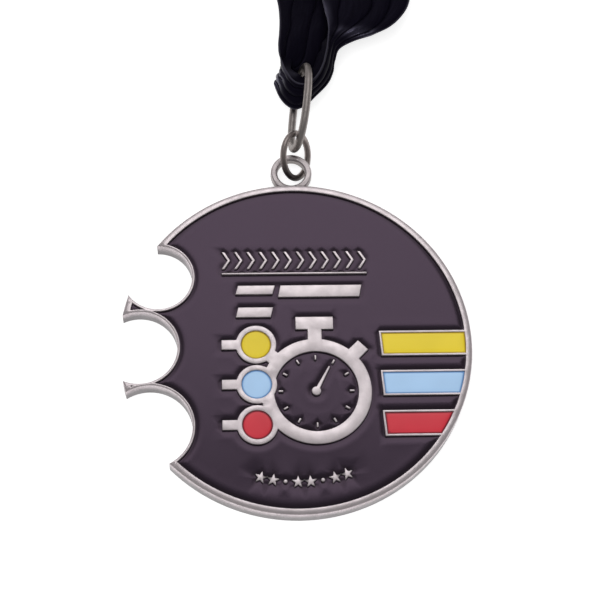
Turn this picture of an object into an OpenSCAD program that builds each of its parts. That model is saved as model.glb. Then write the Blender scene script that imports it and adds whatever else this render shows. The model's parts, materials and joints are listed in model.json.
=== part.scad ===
// Sports finisher medal: a die-cast disc with three round bites and enamelled fields,
// hung from a folded neck ribbon by a hanging loop, a jump ring and an oval ring.
// Frame: the origin is the middle of the disc's flat back, +Y points to the ribbon
// and +Z comes out of the face.

/* [Disc] */
// Diameter of the disc
disc_d = 65; // [58:1:80]
// Thickness of the disc
disc_t = 4; // [3.4:0.1:6]
// Width of the raised rim round the face
rim_w = 1.2; // [0.8:0.1:2]
// Width of the raised line beside each bite
bite_line_w = 0.5; // [0.3:0.1:1]
// Chamfer along the disc's outer edges
edge_chamfer = 0.15; // [0.05:0.05:0.4]
// Depth of the pockets that hold the enamel
pocket_depth = 1; // [0.6:0.1:1.8]

/* [Bites] */
// Diameter of the upper bite
upper_bite_d = 12.8; // [9:0.1:15]
// Diameter of the middle bite
middle_bite_d = 14.1; // [9:0.1:16]
// Diameter of the lower bite
lower_bite_d = 15.7; // [9:0.1:18]

/* [Enamel] */
// How far the black enamel lies below the rim
black_drop = 0.3; // [0.1:0.05:0.5]
// How far the coloured enamel lies below the rim
colour_drop = 0.15; // [0.05:0.05:0.5]
// Diameter of each enamel dot
dot_d = 5.5; // [4:0.1:6.4]
// Width of the metal round each dot
bezel_w = 1; // [0.5:0.1:1.3]
// Height of each coloured bar with its frame
bar_h = 4.95; // [3:0.05:6.5]
// Width of the metal frame of a coloured bar
bar_frame_w = 0.4; // [0.3:0.05:0.8]
// Distance from one row of dots and bars to the next
row_pitch = 7.75; // [7.6:0.05:9]

/* [Stopwatch] */
// Outer diameter of the stopwatch ring
watch_d = 20.3; // [17:0.1:24]
// Width of the stopwatch ring
watch_ring_w = 2.45; // [1.2:0.05:3.5]

/* [Hanging loop] */
// Outer diameter of the loop
loop_d = 7.9; // [7:0.1:9]
// Diameter of the hole in the loop
loop_hole_d = 5.3; // [5:0.1:5.8]
// Thickness of the loop
loop_t = 1.7; // [1.2:0.1:1.8]

/* [Rings] */
// Diameter of the jump ring at the middle of its wire
jump_d = 8.56; // [8:0.02:9.4]
// Wire diameter of the jump ring
jump_wire_d = 1.24; // [0.9:0.02:1.26]
// Length of the oval ring at the middle of its wire
oval_l = 17.7; // [16:0.1:22]
// Width of the oval ring at the middle of its wire
oval_w = 8; // [7.6:0.1:9.6]
// Wire diameter of the oval ring
oval_wire_d = 1.5; // [1.1:0.1:1.6]

/* [Ribbon] */
// Width of the ribbon
ribbon_w = 25; // [18:1:30]
// Length of the folded stack that holds the spare ribbon
stack_l = 50; // [40:1:80]
// Height of the folded stack
stack_h = 6.6; // [4:0.1:10]
// Width of the band round the stack
band_w = 6; // [3:0.5:12]
// Thickness of the band
band_t = 0.6; // [0.3:0.1:1]

/* [Hidden] */
$fn = 96;
cut = 1;                                   // how far a cutter runs past what it cuts
disc_r = disc_d / 2;
field_r = disc_r - rim_w;
pocket_z = disc_t - pocket_depth;

// each bite is a circle: its middle as an angle and a distance, and its radius
bites = [
    [152, disc_r - 3.6, upper_bite_d / 2],
    [180.8, disc_r - 3.6, middle_bite_d / 2],
    [210.2, disc_r - 1.3, lower_bite_d / 2],
];

// rows of dots and bars, counted from the top
top_row_y = -0.1;
function row_y(row) = top_row_y - row * row_pitch;

dot_x = -7.45;
dot_r = dot_d / 2;
bezel_r = dot_r + bezel_w;
tail_l = 2.6;                              // how far a dot's tail runs out of its bezel
tail_w = 1.9;

bar_x = 15.6;                              // foot of a bar's left end
bar_slant = 0.3;                           // how far its top leans to the left

watch_x = 3.4;
watch_y = -9.25;
watch_r = watch_d / 2;
dial_r = watch_r - watch_ring_w;
crown_neck = [2.6, 1.9];
crown_bar = [7, 2.5];
pusher = [2.6, 2.4];
pusher_angles = [45, 139.9];
hand_angle = 62;
hand_l = 5.4;
hub_r = 0.85;
tick_count = 12;
tick = [0.9, 0.36];
tick_gap = 0.75;                           // from the dial's edge to a tick's outer end

// speed dashes: left end, right end, foot, height
dashes = [[-11.1, -4.2, 9.9, 1.8], [-3.2, 12, 9.3, 2.4], [-11.1, -4.6, 5.3, 2]];
dash_slant = 0.5;

header_x = 13.6;                           // half the header's length
header_y = 15.1;                           // foot of the chevrons
chevron_count = 12;
chevron_h = 3.5;
chevron_reach = 1.1;                       // how far its point stands in front of its ends
chevron_stroke = 0.55;
rule_y = 14.15;
rule_w = 0.36;

mark_r = 26.4;                             // radius of the arc of stars and points
mark_angle = 4.86;
mark_start = -105.5;
marks = ["star", "star", "point", "star", "star", "point", "star", "star"];
star_r = 1.2;
star_waist = 0.5;
point_r = 0.36;

loop_r = loop_d / 2;
loop_hole_r = loop_hole_d / 2;
loop_y = disc_r + 3.1;
loop_z = 2.45;
loop_chamfer = 0.25;

jump_r = jump_d / 2;
jump_wire_r = jump_wire_d / 2;
jump_at = [0.91, loop_y + 3.09, 4.29];
jump_tilt = 59;
jump_turn = -19.4;
jump_gap = 2.2;                            // degrees of wire missing where its ends meet
jump_gap_at = 215;

oval_side_b = oval_w / 2;
oval_half_l = oval_l / 2;
oval_wire_r = oval_wire_d / 2;
oval_fullness = 2.3;                       // 2 is an ellipse, more is squarer
oval_steps = 96;
wire_sides = 16;
function oval_power(v) = sign(v) * pow(abs(v), 2 / oval_fullness);
function oval_point(a) = [oval_half_l * oval_power(cos(a)), oval_side_b * oval_power(sin(a))];
// the way out of the oval, square to its line
function oval_out(a) = let (t = oval_point(a + 1) - oval_point(a - 1)) [t[1], -t[0]] / norm(t);
// the jump ring carries the oval ring's lower end
oval_at = [2, jump_at[1] + 1.39 + oval_half_l, 4.93];
oval_lean = 17.9;
oval_turn = -6.8;

// the ribbon's bight passes through the far half of the oval ring, as round as fits
bight_room = 0.35;                         // clear of the ring's wire
bight_y = oval_half_l - 4.7;
bight_space = min([for (a = [0 : 3 : 357]) norm(oval_point(a) - [bight_y, 0])]);
bight_r = bight_space - oval_wire_r - bight_room;
lobe_gap = oval_wire_r + bight_room;       // from the ring's plane to where a lobe starts
lobe_l = 3.6;
lobe_half = [4.2, 3.5];                    // half a lobe's size along and across the ring
lobe_steps = 24;
slot_r = oval_half_l + oval_wire_r - bight_y + 0.55;  // the straps part round the ring's end

// the straps run from the bight to the stack, drawn from above
strap_foot_y = oval_at[1] + oval_half_l - 2.4;
stack_y = strap_foot_y + 36;
stack_x = 11.75;
stack_z = band_t + 0.1;
strap_z = 0.3;
strap_t = 3.6;
stack_left = stack_x - ribbon_w / 2;
stack_right = stack_x + ribbon_w / 2;
band_room = 0.1;
band_r = 0.2;                              // inside corner radius of the band
seam_y = stack_y + 9;
stitch_count = 14;
stitch = [1.1, 0.3, 0.18];

silver = "#bdb6b8";
wall_grey = "#9b9698";
enamel_black = "#3d373f";
enamel_yellow = "#e5cf45";
enamel_blue = "#a5c8f2";
enamel_red = "#cc3a4c";
satin_black = "#141318";
paper_white = "#e6e3dc";
thread_black = "#2a2930";

// ---- outlines on the face ----

module at_bite(b) {
    translate([b[1] * cos(b[0]), b[1] * sin(b[0])]) children();
}

module face_pocket_2d() {
    difference() {
        circle(field_r);
        for (b = bites)
            at_bite(b) circle(b[2] + bite_line_w);
    }
}

module bar_outline_2d(row, inset) {
    foot = row_y(row) - bar_h / 2 + inset;
    top = row_y(row) + bar_h / 2 - inset;
    left = bar_x + inset;
    intersection() {
        circle(field_r);
        polygon([[left, foot], [disc_r, foot], [disc_r, top], [left - bar_slant, top]]);
    }
}

module dot_2d(row) {
    translate([dot_x, row_y(row)]) circle(dot_r);
}

module bezel_2d(row) {
    translate([dot_x, row_y(row)]) circle(bezel_r);
}

module tail_2d(row) {
    translate([dot_x - bezel_r - tail_l, row_y(row) - tail_w / 2])
        square([tail_l + bezel_w, tail_w]);
}

module dash_2d(d) {
    top = d[2] + d[3];
    polygon([[d[0], d[2]], [d[1], d[2]], [d[1] + dash_slant, top], [d[0] + dash_slant, top]]);
}

module chevron_2d() {
    half = chevron_h / 2;
    polygon([
        [0, 0], [chevron_stroke, 0], [chevron_stroke + chevron_reach, half],
        [chevron_stroke, chevron_h], [0, chevron_h], [chevron_reach, half],
    ]);
}

module header_2d() {
    pitch = (2 * header_x - chevron_stroke - chevron_reach) / (chevron_count - 1);
    for (i = [0 : chevron_count - 1])
        translate([-header_x + i * pitch, header_y]) chevron_2d();
    translate([-header_x, rule_y - rule_w / 2]) square([2 * header_x, rule_w]);
}

module star_2d() {
    polygon([for (i = [0 : 9])
        (i % 2 == 0 ? star_r : star_waist) * [cos(90 + i * 36), sin(90 + i * 36)]]);
}

module marks_2d() {
    for (i = [0 : len(marks) - 1])
        rotate(mark_start + i * mark_angle)
            translate([mark_r, 0])
                if (marks[i] == "star") rotate(90) star_2d();
                else circle(point_r, $fn = 24);
}

// the stopwatch as one filled outline, with its crown and pushers
module watch_body_2d() {
    translate([watch_x, watch_y]) {
        circle(watch_r);
        translate([-crown_neck[0] / 2, watch_r - 0.5])
            square([crown_neck[0], crown_neck[1] + 0.5]);
        translate([-crown_bar[0] / 2, watch_r + crown_neck[1]]) square(crown_bar);
        for (a = pusher_angles)
            rotate(a) translate([watch_r - 0.5, -pusher[0] / 2])
                square([pusher[1] + 0.5, pusher[0]]);
    }
}

// hub, hand and ticks, which stand up out of the dial's enamel
module dial_marks_2d() {
    translate([watch_x, watch_y]) {
        circle(hub_r, $fn = 48);
        rotate(hand_angle) polygon([[0, -0.38], [hand_l, -0.16], [hand_l, 0.16], [0, 0.38]]);
        for (i = [0 : tick_count - 1])
            rotate(i * 360 / tick_count)
                translate([dial_r - tick_gap - tick[0], -tick[1] / 2]) square(tick);
    }
}

module dial_2d() {
    difference() {
        translate([watch_x, watch_y]) circle(dial_r);
        bezel_2d(1);
        dial_marks_2d();
    }
}

module raised_2d() {
    watch_body_2d();
    header_2d();
    marks_2d();
    for (d = dashes)
        dash_2d(d);
    for (row = [0 : 2]) {
        bezel_2d(row);
        tail_2d(row);
        bar_outline_2d(row, 0);
    }
}

module black_field_2d() {
    difference() {
        face_pocket_2d();
        raised_2d();
    }
}

// ---- the medal ----

module chamfered_disc() {
    rotate_extrude($fn = 180)
        polygon([
            [0, 0], [disc_r - edge_chamfer, 0], [disc_r, edge_chamfer],
            [disc_r, disc_t - edge_chamfer], [disc_r - edge_chamfer, disc_t], [0, disc_t],
        ]);
}

// a bite's cutter flares at both faces, so that it leaves a chamfer
module bite_cutter(b) {
    at_bite(b) rotate_extrude()
        polygon([
            [0, -cut], [b[2] + edge_chamfer + cut, -cut], [b[2], edge_chamfer],
            [b[2], disc_t - edge_chamfer], [b[2] + edge_chamfer + cut, disc_t + cut],
            [0, disc_t + cut],
        ]);
}

module pocket() {
    translate([0, 0, pocket_z]) linear_extrude(pocket_depth + cut) children();
}

module medal_body() {
    color(silver)
        difference() {
            chamfered_disc();
            for (b = bites)
                bite_cutter(b);
            pocket() black_field_2d();
            pocket() dial_2d();
            for (row = [0 : 2]) {
                pocket() dot_2d(row);
                pocket() bar_outline_2d(row, bar_frame_w);
            }
        }
}

module hanging_loop() {
    wide = loop_r - loop_hole_r;
    c = loop_chamfer;
    color(silver)
        difference() {
            translate([0, loop_y, loop_z - loop_t / 2]) rotate_extrude()
                translate([loop_hole_r, 0]) polygon([
                    [c, 0], [wide - c, 0], [wide, c], [wide, loop_t - c],
                    [wide - c, loop_t], [c, loop_t], [0, loop_t - c], [0, c],
                ]);
            cylinder(h = disc_t, r = disc_r, $fn = 180);
        }
}

// ---- enamel, which fills its pocket wall to wall ----

module enamel_fill(drop) {
    translate([0, 0, pocket_z]) linear_extrude(pocket_depth - drop) children();
}

module black_field_enamel() {
    color(enamel_black) enamel_fill(black_drop) black_field_2d();
}

module stopwatch_dial_enamel() {
    color(enamel_black) enamel_fill(black_drop) dial_2d();
}

module yellow_dot_enamel() {
    color(enamel_yellow) enamel_fill(colour_drop) dot_2d(0);
}

module blue_dot_enamel() {
    color(enamel_blue) enamel_fill(colour_drop) dot_2d(1);
}

module red_dot_enamel() {
    color(enamel_red) enamel_fill(colour_drop) dot_2d(2);
}

module yellow_bar_enamel() {
    color(enamel_yellow) enamel_fill(colour_drop) bar_outline_2d(0, bar_frame_w);
}

module blue_bar_enamel() {
    color(enamel_blue) enamel_fill(colour_drop) bar_outline_2d(1, bar_frame_w);
}

module red_bar_enamel() {
    color(enamel_red) enamel_fill(colour_drop) bar_outline_2d(2, bar_frame_w);
}

// ---- the two rings ----

module jump_ring() {
    color(wall_grey)
        translate(jump_at) rotate([0, jump_tilt, jump_turn])
            rotate(jump_gap_at) rotate_extrude(angle = 360 - jump_gap)
                translate([jump_r, 0]) circle(jump_wire_r, $fn = 48);
}

// the oval ring's own plane: length along Y, width along Z, before it leans
module in_oval_plane() {
    translate(oval_at) rotate([0, oval_lean, oval_turn]) rotate([90, 0, 90]) children();
}

// the wire as one closed tube, swept along the oval
module oval_ring() {
    rings = oval_steps;
    sides = wire_sides;
    points = [for (i = [0 : rings - 1], j = [0 : sides - 1])
        let (along = i * 360 / rings, round = j * 360 / sides, out = oval_out(along))
        concat(oval_point(along) + oval_wire_r * cos(round) * out, oval_wire_r * sin(round))];
    faces = [for (i = [0 : rings - 1], j = [0 : sides - 1])
        let (i2 = (i + 1) % rings, j2 = (j + 1) % sides)
        [i * sides + j, i * sides + j2, i2 * sides + j2, i2 * sides + j]];
    color(wall_grey) in_oval_plane() polyhedron(points, faces);
}

// ---- the ribbon ----

// the gathered cloth beside the oval ring, from one distance off its plane outwards
module ribbon_lobe(from) {
    translate([0, 0, from]) linear_extrude(lobe_l)
        polygon([for (i = [0 : lobe_steps - 1])
            [lobe_half[0] * cos(i * 360 / lobe_steps), lobe_half[1] * sin(i * 360 / lobe_steps)]]);
}

module ribbon_bight() {
    in_oval_plane() translate([bight_y, 0, 0]) {
        cylinder(h = 2 * lobe_gap + lobe_l, r = bight_r, center = true);
        ribbon_lobe(lobe_gap);
        ribbon_lobe(-lobe_gap - lobe_l);
    }
}

module ribbon_straps() {
    y = strap_foot_y;
    translate([0, 0, strap_z]) linear_extrude(strap_t)
        polygon([
            [-2.2, y], [9, y], [10.5, y + 7], [20, y + 11], [25, y + 17],
            [25.3, y + 24], [stack_right, stack_y], [stack_left, stack_y], [-2, y + 20],
        ]);
}

module ribbon_stack() {
    translate([stack_left, stack_y, stack_z]) cube([ribbon_w, stack_l, stack_h]);
}

// the oval ring's end turns in this slot between the two lobes
module ring_slot() {
    in_oval_plane() translate([bight_y, 0, -lobe_gap]) cylinder(h = 2 * lobe_gap, r = slot_r);
}

module neck_ribbon() {
    color(satin_black) {
        ribbon_bight();
        difference() {
            ribbon_straps();
            ring_slot();
        }
        ribbon_stack();
    }
}

// two rows of stitches where the ribbon's ends are sewn together, on top of the stack
module ribbon_seam_stitches() {
    pitch = (ribbon_w - 2) / stitch_count;
    color(thread_black)
        for (row = [0, 1], i = [0 : stitch_count - 1])
            translate([stack_left + 1 + i * pitch, seam_y + row * 4, stack_z + stack_h])
                cube(stitch);
}

module band_outline_2d(grow) {
    w = ribbon_w + 2 * (band_room + grow);
    h = stack_h + 2 * (band_room + grow);
    r = band_r + grow;
    union() {
        translate([-w / 2 + r, -h / 2]) square([w - 2 * r, h]);
        translate([-w / 2, -h / 2 + r]) square([w, h - 2 * r]);
        for (x = [-1, 1], y = [-1, 1])
            translate([x * (w / 2 - r), y * (h / 2 - r)]) circle(r, $fn = 32);
    }
}

module storage_band() {
    color(paper_white)
        translate([stack_x, stack_y + stack_l / 2 + band_w / 2, stack_z + stack_h / 2])
            rotate([90, 0, 0]) linear_extrude(band_w)
                difference() {
                    band_outline_2d(band_t);
                    band_outline_2d(0);
                }
}

medal_body();
hanging_loop();
black_field_enamel();
stopwatch_dial_enamel();
yellow_dot_enamel();
blue_dot_enamel();
red_dot_enamel();
yellow_bar_enamel();
blue_bar_enamel();
red_bar_enamel();
jump_ring();
oval_ring();
neck_ribbon();
ribbon_seam_stitches();
storage_band();
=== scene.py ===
# %% [markdown]
# # A sports finisher medal, built around its CAD frame
# The medal is a die-cast disc with enamel in its pockets. It hangs on a loop, a small jump ring, a
# bigger oval ring and a black satin ribbon. The frame holds every part at its true size and place, so
# this script only adds what the eye needs: rounded edges, poured enamel, bent wire and real cloth.

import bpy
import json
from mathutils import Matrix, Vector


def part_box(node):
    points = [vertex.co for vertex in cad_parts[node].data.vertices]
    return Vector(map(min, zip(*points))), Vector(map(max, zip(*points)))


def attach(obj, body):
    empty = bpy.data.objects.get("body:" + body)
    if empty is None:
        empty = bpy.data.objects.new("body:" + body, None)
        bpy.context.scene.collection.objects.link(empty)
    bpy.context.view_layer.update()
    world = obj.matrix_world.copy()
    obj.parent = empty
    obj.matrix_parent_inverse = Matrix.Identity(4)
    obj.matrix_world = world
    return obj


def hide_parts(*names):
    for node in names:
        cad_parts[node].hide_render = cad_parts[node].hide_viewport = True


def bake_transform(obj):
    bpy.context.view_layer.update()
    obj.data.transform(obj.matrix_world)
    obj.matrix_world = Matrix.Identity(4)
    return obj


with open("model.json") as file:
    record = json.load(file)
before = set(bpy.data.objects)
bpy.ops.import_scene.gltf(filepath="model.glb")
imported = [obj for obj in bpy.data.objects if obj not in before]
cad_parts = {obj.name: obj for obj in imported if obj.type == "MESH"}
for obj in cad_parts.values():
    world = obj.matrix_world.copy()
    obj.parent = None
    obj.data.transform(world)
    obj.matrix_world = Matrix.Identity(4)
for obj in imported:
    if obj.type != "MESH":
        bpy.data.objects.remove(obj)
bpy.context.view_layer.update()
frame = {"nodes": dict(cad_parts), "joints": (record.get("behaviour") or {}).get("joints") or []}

# %% Tools used all through
import json
import math
import random

import bmesh
import bpy
import numpy as np
from mathutils import Matrix, Vector, noise
from mathutils.geometry import delaunay_2d_cdt

MM = 0.001
scene = bpy.context.scene

# %% [markdown]
# ## The camera
# The medal is seen from above and a little from the foot end. A long lens from a third of a metre
# keeps the disc nearly round, as a product photographer would.

# %% Camera
lens_mm = 101.3
camera_back = 310.5 * MM                  # along the line of sight
camera_slide = Vector((0.65, 7.99)) * MM  # sideways and up, square to the line of sight
camera_tilt = math.radians(22.81)
camera_pan = math.radians(-3.11)
camera_roll = math.radians(-1.78)
face_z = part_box("medal_body")[1].z

turn = (Matrix.Rotation(camera_pan, 4, "Y") @ Matrix.Rotation(camera_tilt, 4, "X")
        @ Matrix.Rotation(camera_roll, 4, "Z"))
camera = bpy.data.objects.new("camera", bpy.data.cameras.new("camera"))
camera.data.lens = lens_mm
camera.data.sensor_width = 36
camera.data.clip_start = 0.01
camera.matrix_world = (Matrix.Translation((0, 0, face_z)) @ turn
                       @ Matrix.Translation((*camera_slide, camera_back)))
scene.collection.objects.link(camera)
scene.camera = camera
print("camera at", [round(v / MM) for v in camera.matrix_world.translation], "mm")

# %% [markdown]
# ## Colours and nodes
# Every colour is written the way a paint chart gives it, as an sRGB hex value. Shaders work in linear
# light, so one function converts. One more function adds a node, sets it and links it.

# %% Colour and node helpers
def linear(hex_value, alpha=1.0):
    """An sRGB hex colour such as "#aabbcc" as the linear numbers that shaders use."""
    parts = [int(hex_value[i:i + 2], 16) / 255 for i in (1, 3, 5)]
    return (*[c / 12.92 if c <= 0.04045 else ((c + 0.055) / 1.055) ** 2.4 for c in parts], alpha)


def add(tree, kind, inputs=None, **settings):
    """Adds one node. inputs maps a socket's name or number to a value or to another node's output."""
    made = tree.nodes.new(kind)
    for name, value in settings.items():
        setattr(made, name, value)
    for name, value in (inputs or {}).items():
        if isinstance(value, bpy.types.NodeSocket):
            tree.links.new(value, made.inputs[name])
        else:
            made.inputs[name].default_value = value
    return made


def new_material(name):
    """An empty material and its node tree."""
    material = bpy.data.materials.new(name)
    material.use_nodes = True
    material.node_tree.nodes.clear()
    return material, material.node_tree


def ramp(tree, factor, stops, **settings):
    """A colour ramp through (place, colour) stops."""
    made = add(tree, "ShaderNodeValToRGB", {"Fac": factor}, **settings)
    points = made.color_ramp.elements
    while len(points) < len(stops):
        points.new(0.5)
    for point, (place, colour) in zip(points, stops):
        point.position = place
        point.color = colour
    return made


def grey(value):
    return (value, value, value, 1)


def per_mm(length):
    """The scale of a texture on Object coordinates whose features are this many millimetres long."""
    return 1 / (length * MM)


# %% [markdown]
# ## Antique nickel on a zinc casting
# The casting is plated with nickel, dipped in a dark wash and polished. The polish cleans the raised
# faces, and the wash stays on the walls and in the pores. So the finish is bright and slightly warm
# where the surface faces out, and grey and dull where it stands upright. The surface normal in the
# piece's own frame tells the two apart, and two noises give the cloudy tone and the fine grain.

# %% Casting material
def metal(name, face_hex, wall_hex, cloud_mm, grain_mm, roughness, bump_mm, joint_and_shade=None):
    material, tree = new_material(name)
    place = add(tree, "ShaderNodeTexCoord")
    split = add(tree, "ShaderNodeSeparateXYZ", {0: place.outputs["Normal"]})
    cloud = add(tree, "ShaderNodeTexNoise", {
        "Vector": place.outputs["Object"], "Scale": per_mm(cloud_mm), "Detail": 4.0, "Roughness": 0.6})
    grain = add(tree, "ShaderNodeTexNoise", {
        "Vector": place.outputs["Object"], "Scale": per_mm(grain_mm), "Detail": 3.0, "Roughness": 0.7})
    # 1 on a polished face, 0 on a wall, broken up a little by the grain
    lifted = add(tree, "ShaderNodeMath", {0: split.outputs["Z"], 1: 0.5}, operation="ADD")
    ragged = add(tree, "ShaderNodeMath", {0: lifted.outputs[0], 1: grain.outputs["Fac"]},
                 operation="MULTIPLY")
    polish = ramp(tree, ragged.outputs[0], [(0.22, grey(0)), (0.55, grey(1))])
    tone = add(tree, "ShaderNodeMix", {
        "Factor": polish.outputs["Color"], 6: linear(wall_hex), 7: linear(face_hex)}, data_type="RGBA")
    clouds = ramp(tree, cloud.outputs["Fac"], [(0.3, grey(0.86)), (0.7, grey(1.0))])
    shade = add(tree, "ShaderNodeMix", {
        "Factor": 1.0, 6: tone.outputs[2], 7: clouds.outputs["Color"]},
        data_type="RGBA", blend_type="MULTIPLY")
    colour = shade.outputs[2]
    if joint_and_shade:
        # darkening near the disc, full at the first distance from the disc's middle and gone at the
        # second:
        # painted shade on the jump ring where it lies in the loop's hole, and the dark joint at the
        # loop's foot
        flat = add(tree, "ShaderNodeVectorMath", {0: place.outputs["Object"], 1: (1, 1, 0)},
                   operation="MULTIPLY")
        reach = add(tree, "ShaderNodeVectorMath", {0: flat.outputs[0]}, operation="LENGTH")
        near = add(tree, "ShaderNodeMapRange", {
            0: reach.outputs["Value"], 1: joint_and_shade[0], 2: joint_and_shade[1], 3: 0.12, 4: 1.0})
        joint = add(tree, "ShaderNodeMix", {
            "Factor": near.outputs[0], 6: linear("#2b2628"), 7: colour}, data_type="RGBA")
        colour = joint.outputs[2]
    dull = add(tree, "ShaderNodeMapRange", {
        0: cloud.outputs["Fac"], 1: 0.3, 2: 0.7, 3: roughness + 0.06, 4: roughness - 0.04})
    bump = add(tree, "ShaderNodeBump", {
        "Height": grain.outputs["Fac"], "Distance": bump_mm * MM, "Strength": 0.6})
    shader = add(tree, "ShaderNodeBsdfPrincipled", {
        "Base Color": colour, "Metallic": 1.0, "Roughness": dull.outputs[0],
        "Normal": bump.outputs[0]})
    add(tree, "ShaderNodeOutputMaterial", {"Surface": shader.outputs[0]})
    return material


disc_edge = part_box("medal_body")[1].y
cast_nickel = metal("antique_nickel_casting", "#f0e5e8", "#858082", cloud_mm=2.2, grain_mm=0.16,
                    roughness=0.42, bump_mm=0.01)
# the loop's darkening at its foot is its dark joint with the rim
loop_nickel = metal("antique_nickel_loop", "#d2c9ca", "#88827f", cloud_mm=1.6, grain_mm=0.16,
                    roughness=0.42, bump_mm=0.01, joint_and_shade=(disc_edge, disc_edge + 0.55 * MM))
wire_nickel = metal("antique_nickel_wire", "#a8a09d", "#6d6663", cloud_mm=0.9, grain_mm=0.12,
                    roughness=0.46, bump_mm=0.02)
# the jump ring's darkening near the disc is painted shade where it lies in the loop's hole
jump_nickel = metal("antique_nickel_jump_ring", "#a89d9a", "#6a615f", cloud_mm=0.9, grain_mm=0.12,
                    roughness=0.4, bump_mm=0.02, joint_and_shade=(disc_edge + 1.6 * MM, disc_edge + 4.6 * MM))
print("metals:", cast_nickel.name, loop_nickel.name, wire_nickel.name, jump_nickel.name)

# %% [markdown]
# ## Soft enamel
# Soft enamel is a coloured lacquer dropped into each pocket and baked. It shrinks as it bakes, so it
# lies a little lower along every metal wall. The mesh holds the groove as geometry, and an attribute
# with the distance to the metal lets the colour follow it: there the colour darkens as painted shade.

# %% Enamel material
def enamel(name, body_hex, painted_shade_hex, painted_shade_mm, roughness, specular, shine_hex="#ffffff"):
    material, tree = new_material(name)
    place = add(tree, "ShaderNodeTexCoord")
    reach = add(tree, "ShaderNodeAttribute", attribute_name="wall_distance")
    painted_shade_mask = add(tree, "ShaderNodeMapRange", {
        0: reach.outputs["Fac"], 1: painted_shade_mm[0] * MM, 2: painted_shade_mm[1] * MM, 3: 0.0, 4: 1.0},
        interpolation_type="SMOOTHSTEP")
    drift = add(tree, "ShaderNodeTexNoise", {
        "Vector": place.outputs["Object"], "Scale": per_mm(9), "Detail": 2.0})
    thick = ramp(tree, drift.outputs["Fac"], [(0.3, grey(0.9)), (0.7, grey(1.0))])
    body = add(tree, "ShaderNodeMix", {
        "Factor": 1.0, 6: linear(body_hex), 7: thick.outputs["Color"]},
        data_type="RGBA", blend_type="MULTIPLY")
    # painted shade: the enamel's colour darkens to its second colour close to the metal walls
    colour = add(tree, "ShaderNodeMix", {
        "Factor": painted_shade_mask.outputs[0], 6: linear(painted_shade_hex), 7: body.outputs[2]}, data_type="RGBA")
    peel = add(tree, "ShaderNodeTexNoise", {
        "Vector": place.outputs["Object"], "Scale": per_mm(1.6), "Detail": 1.0})
    bump = add(tree, "ShaderNodeBump", {
        "Height": peel.outputs["Fac"], "Distance": 0.006 * MM, "Strength": 0.5})
    shader = add(tree, "ShaderNodeBsdfPrincipled", {
        "Base Color": colour.outputs[2], "Roughness": roughness, "IOR": 1.5,
        "Specular IOR Level": specular, "Specular Tint": linear(shine_hex),
        "Normal": bump.outputs[0]})
    add(tree, "ShaderNodeOutputMaterial", {"Surface": shader.outputs[0]})
    return material


enamels = {
    # each enamel's second colour is the painted shade along its metal walls
    "black": enamel("black_soft_enamel", "#1d1720", "#040305", (0.4, 1.2), 0.24, 0.62, "#ffdcff"),
    "yellow": enamel("yellow_soft_enamel", "#f6db38", "#b39424", (0.05, 0.35), 0.3, 0.35),
    "blue": enamel("light_blue_soft_enamel", "#b6daff", "#5f8fc9", (0.05, 0.4), 0.3, 0.35),
    "red": enamel("red_soft_enamel", "#d93846", "#6e1a28", (0.05, 0.45), 0.3, 0.35),
}
print("enamels:", ", ".join(m.name for m in enamels.values()))

# %% [markdown]
# ## Pouring the enamel
# Each pocket's outline comes from the top of its CAD node. Rings of points follow the outline at a
# few distances, a coarse grid fills the rest, and a constrained Delaunay triangulation joins them
# all. Then every point takes its height from its distance to the metal. This could be a displaced
# grid, but a grid would step along the curved walls.

# %% Outline helpers
weld = 0.001 * MM
facing_up = 0.999                          # the least Z of a flat top face's normal
top_band = 0.01 * MM


def merged(node):
    """A CAD node's mesh as a bmesh with its loose triangles joined."""
    bm = bmesh.new()
    bm.from_mesh(frame["nodes"][node].data)
    bmesh.ops.remove_doubles(bm, verts=bm.verts, dist=weld)
    bm.normal_update()
    return bm


def top_edges(bm):
    """The border of the highest flat face: (start, end) points, with the face on the left."""
    top = max(v.co.z for v in bm.verts)
    flat = {f for f in bm.faces
            if f.normal.z > facing_up and f.calc_center_median().z > top - top_band}
    return [(loop.vert.co.xy.to_3d(), loop.link_loop_next.vert.co.xy.to_3d())
            for f in flat for loop in f.loops
            if not any(g is not f and g in flat for g in loop.edge.link_faces)]


def divided(edges, step):
    """The same border with every edge cut into pieces no longer than step."""
    out = []
    for a, b in edges:
        count = max(1, math.ceil((b - a).length / step))
        cuts = [a.lerp(b, i / count) for i in range(count + 1)]
        out += list(zip(cuts, cuts[1:]))
    return out


def wall_distance(points, edges):
    """How far each 2D point is from the nearest border edge."""
    a = np.array([e[0][:2] for e in edges])
    d = np.array([e[1][:2] for e in edges]) - a
    span = np.maximum((d ** 2).sum(1), 1e-18)
    out = []
    for p in np.array_split(points, max(1, len(points) // 500)):
        rel = p[:, None] - a[None]
        t = np.clip((rel * d).sum(2) / span, 0, 1)
        out.append(np.sqrt((((rel - t[..., None] * d) ** 2).sum(2)).min(1)))
    return np.concatenate(out)


def inside(points, edges):
    """Whether each 2D point is within the border, by counting crossings to its right."""
    a = np.array([e[0][:2] for e in edges])
    b = np.array([e[1][:2] for e in edges])
    low, high = np.minimum(a[:, 1], b[:, 1]), np.maximum(a[:, 1], b[:, 1])
    out = []
    for p in np.array_split(points, max(1, len(points) // 500)):
        y = p[:, 1:2]
        crosses = (y >= low) & (y < high)
        slope = (b[:, 0] - a[:, 0]) / np.where(b[:, 1] == a[:, 1], 1, b[:, 1] - a[:, 1])
        out.append((crosses & (a[:, 0] + (y - a[:, 1]) * slope > p[:, :1])).sum(1) % 2 == 1)
    return np.concatenate(out)


# %% The pour
ring_steps = [0.12, 0.3, 0.55, 0.9, 1.3, 1.8]   # mm from the metal
border_step = 0.45 * MM
grid_step = 1.6 * MM
ridge_place, ridge_width = 1.35, 0.35           # mm from the metal
dome_reach = 1.2
foot_gap = 0.02 * MM                            # the enamel stops this far above its pocket's floor


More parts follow.
